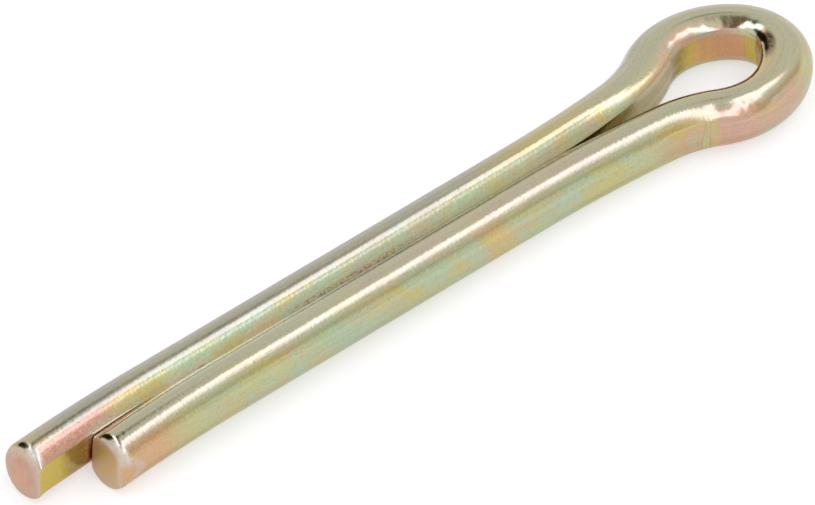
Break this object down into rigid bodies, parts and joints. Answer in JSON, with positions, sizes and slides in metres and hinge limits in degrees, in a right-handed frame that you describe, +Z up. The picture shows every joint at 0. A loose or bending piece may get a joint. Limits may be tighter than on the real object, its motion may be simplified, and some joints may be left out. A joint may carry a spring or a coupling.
{
  "type": "cotter pin",
  "caption": "Split cotter pin bent from wire, with a teardrop eye and closed legs of unequal length, put through a cross hole and spread to lock it.",
  "frame": {"origin": "on the ground, under the middle of the pin's length and width as it lies", "axes": "+X along the legs towards the eye, +Y towards the long leg, +Z up, square to the plane of the pin"},
  "size_m": [0.0727, 0.0132, 0.0046],
  "materials": {
    "zinc": "yellow passivated zinc plate with pale rainbow tints, drawn wire, satin to bright"
  },
  "bodies": {
    "root": {"cotter_pin": "zinc"}
  },
  "joints": []
}
